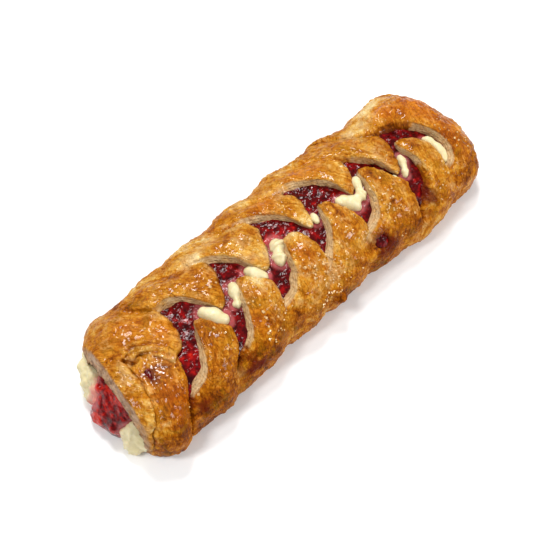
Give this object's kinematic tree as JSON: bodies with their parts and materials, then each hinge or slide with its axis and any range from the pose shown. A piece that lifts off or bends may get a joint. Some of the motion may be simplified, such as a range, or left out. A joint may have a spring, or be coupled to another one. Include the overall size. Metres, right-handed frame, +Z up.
{
  "type": "strawberry strudel",
  "caption": "Long braided puff pastry strudel with strawberry jam and cream cheese filling showing between the strips and spilling from its open end.",
  "frame": {"origin": "centre of the bounding box in X and Y, at the flat base the strudel lies on", "axes": "+X along the loaf from the open end, where the filling spills out, to the folded end; +Y across it; +Z up"},
  "size_m": [0.278, 0.087, 0.038],
  "materials": {
    "pastry": "baked golden crust with a thin sugar glaze",
    "jam": "wet and glossy",
    "cream": "soft satin"
  },
  "bodies": {
    "root": {"pastry": "pastry", "jam": "jam", "cream": "cream"}
  },
  "joints": []
}
